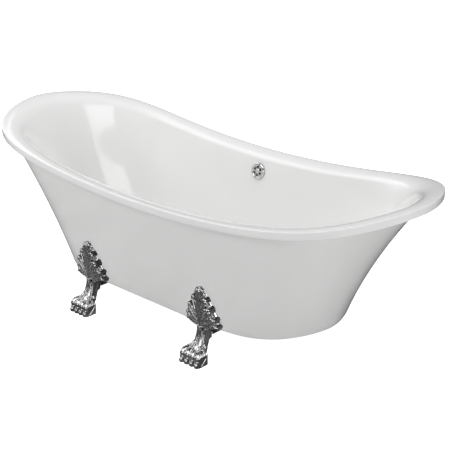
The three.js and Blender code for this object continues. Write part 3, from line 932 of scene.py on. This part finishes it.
def leaf(clay):
    """Acanthus leaf: overlapping lobes that fan out from the knee and end in knobs."""
    warp = leaf_warp(LEAF_FLATNESS)
    for side in (-1, 1):
        for points, radii in LOBES:
            line = [np.array([side * x, lift * LEAF_FLATNESS, z]) for x, z, lift in points]
            petal(clay, line, radii, warp)
    points, radii = STEM
    line = [(x, lift * LEAF_FLATNESS, z) for x, z, lift in points]
    clay.limb(line, radii, 1.0, False, warp, True)
    groove = [(0, 13, 128), (0, 17, 160), (0, 23, 200), (0, 30, 236)]
    clay.limb(groove, [2, 3.4, 5, 6.5], 0.8, True, warp)
    # Scrolls at the tip
    for side in (-1, 1):
        clay.ball((side * 9, -305.5, 249), (7.8, 7, 7.4), 0.8)
        clay.ball((side * 17, -303, 236), (6.6, 6, 6.6), 0.8)
    clay.ball((0, -303, 254), (6.4, 5.6, 6), 0.8)
    # Knee beads under the leaf
    for x, z, r in ((0, 118, 5), (-9, 121.5, 4.2), (9, 121.5, 4.2)):
        clay.ball((x, -(304.5 - abs(x) * 0.16), z), (r, r, r), 0.8)
    clay.ball((0, -304, 109), (3.4, 3.2, 5.4), 0.8)


# ---- overflow rosette

def rosette_mesh():
    clay = Clay((-33, -33, -1), (33, 33, 12), 0.5)

    def dome(x, y, z):
        r = np.sqrt(x * x + y * y)
        radii = [0, 5.5, 8, 20.5, 22.5, 26, 28.5, 30, 31]
        top = np.interp(r, radii, [8.7, 8.4, 6.2, 6.2, 8.0, 7.6, 5.8, 3.4, 2.0])
        return np.maximum(np.maximum(z - top, 2 - z), r - COVER_R) * 0.8

    clay.add((-32, -32, 0), (32, 32, 10), dome, 0.5)
    for i in range(6):
        a = i * math.pi / 3

        def slot(x, y, z, a=a):
            c, s = math.cos(a), math.sin(a)
            u, v = x * c + y * s, y * c - x * s
            r = np.sqrt(x * x + y * y)
            side = np.abs(v) - np.maximum(u, 0) * math.tan(0.36)
            return np.maximum(np.maximum(r - 18.5, 9.5 - r), np.maximum(side, -u)) + 0 * z

        clay.add((-19, -19, -2), (19, 19, 12), slot, 0.9, True)
    return clay.mesh("overflow_rosette")


# ---- assembly

def build_shells():
    hole = drill(OVERFLOW_HOLE_R, -60, 60, OVERFLOW)
    show("tub_basin", solved(basin_mesh(), [hole], "DIFFERENCE"), "basin_acrylic", "basin")
    skirt = show("tub_skirt", skirt_mesh(), "skirt_acrylic", "skirt")
    skirt.visible_glossy = False
    show("rim_seal_bead", seal_mesh(), "white_seal", "rim_seal")


def corner_matrix(side, end):
    """The place of a corner's parts, which are made at x = 0 on the front side."""
    turn = Matrix.Rotation(math.pi if side == "rear" else 0, 4, "Z")
    return moved(-FOOT_X if end == "left" else FOOT_X, 0, 0) @ turn


def build_corners():
    foot = foot_mesh()
    top = PAD_TOP - GAP
    turns = enumerate(np.arange(top + 0.5, 31.5, 0.6))
    thread = [(STUD_R, z) if k % 2 else (STUD_R - 0.45, z) for k, z in turns]
    stud = [(0, 2), (STUD_R, 2), *thread, (2.5, 32.4), (0, 32.4)]
    pad = [(0, 0), (PAD_R - 1.5, 0), (PAD_R, 1.5), (PAD_R, top), (0, top)]
    foot_pad = turned("levelling_pad", [pad, stud], 48, 0.4)
    for end in ("left", "right"):
        for side in ("front", "rear"):
            name = f"{side}_{end}"
            matrix = corner_matrix(side, end)
            node = f"claw_foot_{name}"
            cast = show(f"chrome_{node}", foot, "cast_chrome", node, matrix)
            cast.visible_shadow = False
            cast.visible_diffuse = False
            body = f"leveller_{name}"
            place = matrix @ moved(0, -LEVELLER_OUT, 0)
            show(f"levelling_pad_{name}", foot_pad, "zinc_steel", body, place, body)


def build_overflow():
    show("overflow_rosette", rosette_mesh(), "chrome", "overflow_cover", OVERFLOW)
    seal = turned("overflow_seal", [[(22, GAP), (28, GAP), (28, 1.7), (22, 1.7)]], 96, 0.4)
    show("overflow_seal", seal, "black_rubber", "overflow_gasket", OVERFLOW)
    show("overflow_cup", overflow_cup_mesh(), "grey_plastic", "overflow_body", OVERFLOW)
    show("overflow_hose_pipe", pipe_mesh(), "grey_plastic", "overflow_pipe")


def overflow_cup_mesh():
    """A shallow cup behind the wall with a spigot that points down along it."""
    profile = [
        (20.3, -8), (27, -8), (27, -11), (24, -12), (24, -30), (0, -30), (0, -27.5), (20.3, -27.5),
    ]
    cup = turned("cup", [profile], 96, 0.8)
    down = moved(0, 0, -PIPE_DEPTH) @ Matrix.Rotation(math.pi / 2, 4, "Y")
    rows = [(7.4, 21.5, 0), (8, 22.1, 0), (8, 43.4, 0), (7.4, 44, 0)]
    spigot = bar("spigot", rows, 64, False, down)
    return solved(solved(cup, [spigot], "UNION"), [drill(6.2, 15, 50, down)], "DIFFERENCE")


def pipe_points():
    """Centre line of the overflow pipe: a smooth curve down behind the basin and in to the tee."""
    start = OVERFLOW @ Vector((30 * MM, 0, -PIPE_DEPTH * MM)) / MM
    after = OVERFLOW @ Vector((52 * MM, 0, -PIPE_DEPTH * MM)) / MM
    way = [(0, 271, 285), (0, 247, 199), (0, 216, 132), (0, 178, 93)]
    level_run = [(0, 128, TEE_PORT_Z), (0, 85, TEE_PORT_Z), (0, 50, TEE_PORT_Z)]
    p = np.array([start, after, *way, *level_run], float)
    p = np.concatenate([[2 * p[0] - p[1]], p, [2 * p[-1] - p[-2]]])
    made = []
    for span in zip(p, p[1:], p[2:], p[3:]):
        made += smooth_span(*span)
    return np.array(made + [p[-2]])


def smooth_span(a, b, c, d, steps=12):
    """Points of a centripetal Catmull-Rom curve from b up to c."""
    t1 = np.linalg.norm(b - a) ** 0.5
    t2 = t1 + np.linalg.norm(c - b) ** 0.5
    t3 = t2 + np.linalg.norm(d - c) ** 0.5

    def mix(first, last, start, end):
        return first * (end - t) / (end - start) + last * (t - start) / (end - start)

    made = []
    for t in np.linspace(t1, t2, steps, endpoint=False):
        low, mid, high = mix(a, b, 0, t1), mix(b, c, t1, t2), mix(c, d, t2, t3)
        made.append(mix(mix(low, mid, 0, t2), mix(mid, high, t1, t3), t1, t2))
    return made


def pipe_mesh():
    line = pipe_points()
    tangents = np.gradient(line, axis=0)
    tangents /= np.linalg.norm(tangents, axis=1)[:, None]
    sides = 40
    angles = 2 * math.pi * np.arange(sides) / sides
    along = np.array([1, 0, 0])
    points = []

    def section(i, radius):
        across = np.cross(tangents[i], (1, 0, 0))
        return [line[i] + radius * (math.cos(a) * along + math.sin(a) * across) for a in angles]

    for i in range(len(line)):
        points += section(i, PIPE_R)
    for i in reversed(range(len(line))):
        points += section(i, PIPE_BORE)
    return mesh_from("overflow_pipe", points, loft_faces(2 * len(line), sides, True), sharp=50)


def build_frame():
    """The board, the rails and each corner's bracket and bolts."""
    show("bonded_board", board_mesh(), "board", "base_board")
    rail = rail_mesh()
    bracket = bracket_mesh()
    head = 6.5
    foot_bolt = bolt_mesh("foot_bolt", 16, head, 5, 28.8)
    rail_bolt = bolt_mesh("rail_bolt", 12, 5, STUD_R, 21)
    head_z = BRACKET_TOP_Z - BRACKET_PLATE - GAP - 5
    behind = turned_to("-Y", 0, -(ANKLE_BACK - GAP) + BRACKET_PLATE + GAP + head, FOOT_BOLT_Z)
    for end in ("left", "right"):
        place = corner_matrix("front", end)
        show(f"steel_rail_{end}", rail, "black_steel", f"cross_rail_{end}", place)
        for side in ("front", "rear"):
            name = f"{side}_{end}"
            corner = corner_matrix(side, end)
            show(f"steel_bracket_{name}", bracket, "black_steel", f"foot_bracket_{name}", corner)
            node = f"foot_bolt_{name}"
            show(f"hex_bolt_foot_{name}", foot_bolt, "zinc_steel", node, corner @ behind)
            for row, y in RAIL_BOLTS.items():
                node = f"rail_bolt_{row}_{name}"
                at = corner @ moved(0, -y, head_z)
                show(f"hex_bolt_{row}_{name}", rail_bolt, "zinc_steel", node, at)


def bolt_mesh(name, flats, head, radius, length):
    """A hexagon bolt along +Z: chamfered head from 0 to head, then a threaded shank to length."""
    corner = flats / 2 / math.cos(math.pi / 6)
    rows = [
        (0.44 * flats, 0, flats),
        (0.48 * flats, 0.15, flats),
        (corner, 1.4, flats),
        (corner, head - 0.3, flats),
        (0.49 * flats, head, flats),
        (radius, head, 0),
        (radius, head + 3, 0),
    ]
    for k, z in enumerate(np.arange(head + 3.4, length - 1.4, 0.6)):
        rows.append((radius if k % 2 else radius - 0.42, z, 0))
    rows += [(radius, length - 1.1, 0), (radius - 1, length, 0)]
    return bar(name, rows)


def slab_ring(half_x, half_y, corner, z, count=144):
    """A rounded rectangle as a ring of points, spaced evenly by angle at its corners."""
    a = 2 * math.pi * (np.arange(count) + 0.5) / count
    c, s = np.cos(a), np.sin(a)
    x = np.sign(c) * (half_x - corner) + corner * c
    y = np.sign(s) * (half_y - corner) + corner * s
    return np.stack([x, y, np.full(count, float(z))], 1)


def ring_solid(name, rings):
    """A closed loft through rings of equal length."""
    faces = loft_faces(len(rings), len(rings[0]), True)
    return mesh_from(name, np.concatenate(rings), faces, sharp=40)


def board_mesh():
    low, high = BOARD_Z
    x, y = BOARD_HALF
    corner, hole = BOARD_CORNER, BOARD_HOLE_R
    rows = ((1, low), (0, low + 1), (0, high - 1), (1, high))
    outside = [slab_ring(x - i, y - i, corner - i, z) for i, z in rows]
    inside = [slab_ring(hole + i, hole + i, hole + i, z) for i, z in reversed(rows)]
    return ring_solid("base_board", outside + inside)


def rail_mesh():
    """A rectangular tube along Y, with holes in its lower wall."""
    x, length, z = RAIL_HALF
    wall = 2
    rows = ((0.4, -length), (0, -length + 0.4), (0, length - 0.4), (0.4, length))
    outside = [slab_ring(x - i, z - i, 3, s) for i, s in rows]
    inside = [slab_ring(x - wall, z - wall, 1.4, s) for s in (length, -length)]
    mesh = ring_solid("cross_rail", outside + inside)
    mesh.transform(turned_to("+Y", 0, 0, RAIL_MID_Z))
    low = RAIL_MID_Z - z - 5
    ys = [side * y for side in (-1, 1) for y in RAIL_BOLTS.values()]
    return solved(mesh, [drill(4.4, low, low + 10, moved(0, y, 0)) for y in ys], "DIFFERENCE")


def bracket_mesh():
    """A pressed channel under the rail's end that turns down behind the foot."""
    front, top, t = -(ANKLE_BACK - GAP), BRACKET_TOP_Z, BRACKET_PLATE
    depth, low, half = -BRACKET_BACK - front, FOOT_BOLT_Z - 12, BRACKET_HALF_W
    mid = front + depth / 2
    body = block((2 * half, depth, t), (0, mid, top - t / 2), 0.7)
    face = block((FACE_WIDTH, t, top - low - 0.1), (0, front + t / 2, (top + low) / 2), 0.7)
    cheek_size = (t, depth, CHEEK_HEIGHT)
    cheek_x, cheek_z = half - t / 2, top - CHEEK_HEIGHT / 2
    cheeks = [block(cheek_size, (side * cheek_x, mid, cheek_z), 0.7) for side in (-1, 1)]
    body = solved(body, [face, *cheeks], "UNION")
    holes = [drill(5.5, -10, 10, turned_to("-Y", 0, front, FOOT_BOLT_Z))]
    holes += [drill(4.5, top - 8, top + 8, moved(0, -y, 0)) for y in RAIL_BOLTS.values()]
    return solved(body, holes, "DIFFERENCE")


def tube_profile(inner, outer, low, high):
    return [(inner, low), (outer, low), (outer, high), (inner, high)]


def drain_flange_mesh():
    """A dished ring with a tail and, inside it, a hub on three arms."""
    shell = [
        (24, TAIL_END_Z), (24, 142), (33, 142), (35, 143), (35, 144.4), (32.5, 146), (30.5, 145.6),
        (28.5, 143.6), (22.5, 142.9), (THROAT_R, 140.5), (THROAT_R, TAIL_END_Z),
    ]
    flange = turned("flange", [shell], 120, 0.6)
    hub = turned("hub", [tube_profile(5.2, 7, HUB_Z - 8, HUB_Z)], 48, 0.3)
    arms = []
    for k in range(3):
        arm = block((15.5, 4, 5), (13.75, 0, HUB_Z - 5), 0.8)
        arm.transform(Matrix.Rotation(2 * math.pi * k / 3, 4, "Z"))
        arms.append(arm)
    return solved(flange, [*arms, hub], "UNION")


def tee_mesh():
    """The waste's body, with a side port for the overflow pipe."""
    shell = [
        (24.4, 130.4), (35, 130.4), (35, 124.4), (29, 122.4), (29, 64), (21, 58), (21, 44),
        (17.5, 44), (17.5, 60), (24.4, 68),
    ]
    tee = turned("tee", [shell], 96, 0.8)
    outward = turned_to("+Y", 0, 0, TEE_PORT_Z)
    port = bar("port", [(13, 25, 0), (13, 48.4, 0), (12.4, 49, 0)], 64, False, outward)
    return solved(solved(tee, [port], "UNION"), [drill(9.5, 10, 52, outward)], "DIFFERENCE")


def build_waste():
    """The drain flange, its seals and stopper, and the tee and outlet under them."""
    def part(piece, slot, node, profile, body="tub", radius=0.5):
        show(piece, turned(piece, [profile], 96, radius), slot, node, None, body)

    show("drain_flange_ring", drain_flange_mesh(), "chrome", "drain_flange")
    part("drain_seal", "black_rubber", "drain_gasket", tube_profile(26.5, 32, 140.3, 141.7))
    part("drain_lower_seal", "black_rubber", "lower_gasket", tube_profile(26.5, 34, 130.7, 133.7))
    cartridge = [
        (0, 100), (4.8, 100), (4.8, 116.3), (8, 116.3), (8, 128), (4.6, 128), (4.6, 104), (0, 104),
    ]
    part("stopper_click_cartridge", "brass", "stopper_cartridge", cartridge)
    cap = [
        (0, 110), (4, 110), (4, 143.4), (9.5, 143.4), (9.5, STOPPER_Z), (28.4, STOPPER_Z),
        (29, 147), (27, 149.2), (18, 151), (9, 152), (0, 152.3),
    ]
    part("stopper_dome", "chrome", "stopper_cap", cap, "stopper", 1.5)
    ring_seal = tube_profile(9.8, 27, 143.9, 145.9)
    part("stopper_ring_seal", "black_rubber", "stopper_seal", ring_seal, "stopper")
    tail_pipe = tube_profile(18, 20, 16, 43.6)
    part("outlet_tail_pipe", "chrome", "outlet_pipe", tail_pipe, radius=0.4)
    show("waste_tee_body", tee_mesh(), "brass", "waste_tee")
    show("outlet_hex_nut", nut_mesh("outlet_nut", 52, 36, 57, 21.3), "chrome", "outlet_nut")
    nut = nut_mesh("pipe_nut", 34, 0, 15, 11.6, turned_to("+Y", 0, 51, TEE_PORT_Z))
    show("pipe_hex_nut", nut, "brass", "pipe_nut")


def nut_mesh(name, flats, low, high, bore, matrix=None):
    """A hexagon nut along Z with chamfered ends and bore."""
    corner = flats / 2 / math.cos(math.pi / 6)
    outside = ((0.48 * flats, low), (corner, low + 1.6), (corner, high - 1.6), (0.48 * flats, high))
    inside = ((bore + 0.6, high), (bore, high - 0.6), (bore, low + 0.6), (bore + 0.6, low))
    rows = [(r, z, flats) for r, z in outside] + [(r, z, 0) for r, z in inside]
    return bar(name, rows, 96, True, matrix)


# ---- studio

# Name, place, target, size in metres, radiance, and whether it shows in reflections.
LAMPS = [
    ("softbox_left", (-1.60, -0.20, 2.00), (-0.3, -0.1, 0.5), (2.4, 0.8), 1.2, True),
    ("softbox_end", (-3.00, -0.40, 1.82), (0, -0.4, 0.5), (3.0, 1.35), 1.0, True),
    ("softbox_right", (2.56, -1.18, 4.60), (0.07, 0.47, 0.3), (2.9, 1.6), 2.4, True),
    ("glint_top", (0.30, -1.30, 3.20), (0.1, -0.3, 0.1), (2.2, 1.2), 2.6, True),
    ("glint_front", (1.50, -3.20, 0.90), (0.1, -0.3, 0.1), (1.1, 1.8), 2.8, True),
    ("glint_right", (3.20, -0.20, 0.70), (0.2, -0.3, 0.1), (2.2, 1.7), 3.0, True),
    ("glint_left", (-3.20, -0.80, 0.60), (0, -0.3, 0.1), (1.2, 1.0), 2.6, True),
    ("key", (-2.2, -3.2, 2.6), (0, 0, 0.3), (2.6, 2.0), 3.7, False),
    ("left_low", (-3.4, -2.4, 0.8), (0, 0, 0.3), (2.6, 1.4), 2.0, False),
    ("right_low", (4.2, -1.2, 0.8), (0, 0, 0.3), (2.2, 1.4), 5.38, False),
    ("back", (0.5, 3.8, 1.6), (0, 0, 0.3), (2.6, 1.4), 2.19, False),
    ("overhead", (0, 0, 3.4), (0, 0, 0), (3.4, 2.4), 2.26, False),
]
WORLD_LOW = 0.22
WORLD_HIGH = 0.34
FLOOR_REACH = 30
FLOOR_GLOW = 1.0
FLOOR_DARK = 0.21
FLOOR_STREAKS = 0.45
LENS = 92.03
AZIMUTH = math.radians(42.9435)
ELEVATION = math.radians(21.8989)
DISTANCE = 3.8826
TARGET = (0.0938, 0, 0.3296)

# The bright metal that the glint lamps are seen in
METALWORK = bpy.data.collections.new("metalwork")


def lamp(name, place, target, size, radiance, mirrored):
    data = bpy.data.lights.new(name, "AREA")
    data.shape = "RECTANGLE"
    data.size, data.size_y = size
    data.energy = radiance * math.pi * size[0] * size[1]
    made = placed(name, data)
    made.location = place
    made.rotation_euler = (Vector(place) - Vector(target)).to_track_quat("Z", "Y").to_euler()
    made.visible_glossy = mirrored
    made.visible_diffuse = not mirrored
    if name.startswith("glint"):
        made.light_linking.receiver_collection = METALWORK


def sky():
    """A dim even studio, lighter above the horizon."""
    world = bpy.data.worlds.new("studio")
    bpy.context.scene.world = world
    world.use_nodes = True
    nodes, links = world.node_tree.nodes, world.node_tree.links
    split = nodes.new("ShaderNodeSeparateXYZ")
    links.new(nodes.new("ShaderNodeTexCoord").outputs["Generated"], split.inputs[0])
    climb = nodes.new("ShaderNodeMapRange")
    climb.interpolation_type = "SMOOTHSTEP"
    span = {"From Min": 0, "From Max": 0.9, "To Min": WORLD_LOW, "To Max": WORLD_HIGH}
    for key, value in span.items():
        climb.inputs[key].default_value = value
    links.new(split.outputs["Z"], climb.inputs["Value"])
    background = nodes["Background"]
    background.inputs["Color"].default_value = (1, 1, 1, 1)
    links.new(climb.outputs[0], background.inputs["Strength"])


def floor(name, height, colour, glow, rays, streaks=0):
    """A pale floor that is there for some kinds of ray: seen, lighting the tub, or mirrored."""
    corners = [(-1, -1), (1, -1), (1, 1), (-1, 1)]
    mesh = bpy.data.meshes.new(name)
    points = [(x * FLOOR_REACH, y * FLOOR_REACH, height) for x, y in corners]
    mesh.from_pydata(points, [], [(0, 1, 2, 3)])
    ground = placed(name, mesh)
    paint = Shader(name + "_paint", Roughness=0.9, Specular_IOR_Level=0.0, Emission_Strength=glow)
    if streaks:
        patches = paint.ramp(paint.noise(6.0, 0.0, 0.5, (1, 1, 1), 1.2), 0, 1, 0.57, 0.60)
        paint.colour(patches, grey(colour), grey(streaks))
    else:
        paint.bsdf.inputs["Base Color"].default_value = grey(colour)
    paint.bsdf.inputs["Emission Color"].default_value = grey(1)
    mesh.materials.append(paint.material)
    for ray in ("camera", "diffuse", "glossy", "transmission", "shadow", "volume_scatter"):
        setattr(ground, "visible_" + ray, ray in rays)


def studio():
    bpy.context.scene.view_settings.view_transform = "Standard"
    sky()
    floor("studio_floor", 0, 0.9, FLOOR_GLOW, ["camera"])
    floor("studio_floor_bounce", -0.0005, 0.8, 0, ["diffuse"])
    rays = ["glossy", "transmission", "shadow"]
    floor("studio_floor_mirrored", -0.001, FLOOR_DARK, 0, rays, FLOOR_STREAKS)
    for made in bpy.context.scene.objects:
        if made.name.startswith(("chrome_claw_foot", "overflow_rosette")):
            METALWORK.objects.link(made)
    for row in LAMPS:
        lamp(*row)


def camera():
    data = bpy.data.cameras.new("camera")
    data.lens = LENS
    data.sensor_width = 36
    made = placed("camera", data)
    level_back = math.cos(ELEVATION)
    x, y = math.sin(AZIMUTH) * level_back, -math.cos(AZIMUTH) * level_back
    back = Vector((x, y, math.sin(ELEVATION)))
    made.location = Vector(TARGET) + back * DISTANCE
    made.rotation_euler = back.to_track_quat("Z", "Y").to_euler()
    bpy.context.scene.camera = made


build_shells()
build_corners()
build_overflow()
build_frame()
build_waste()
studio()
camera()
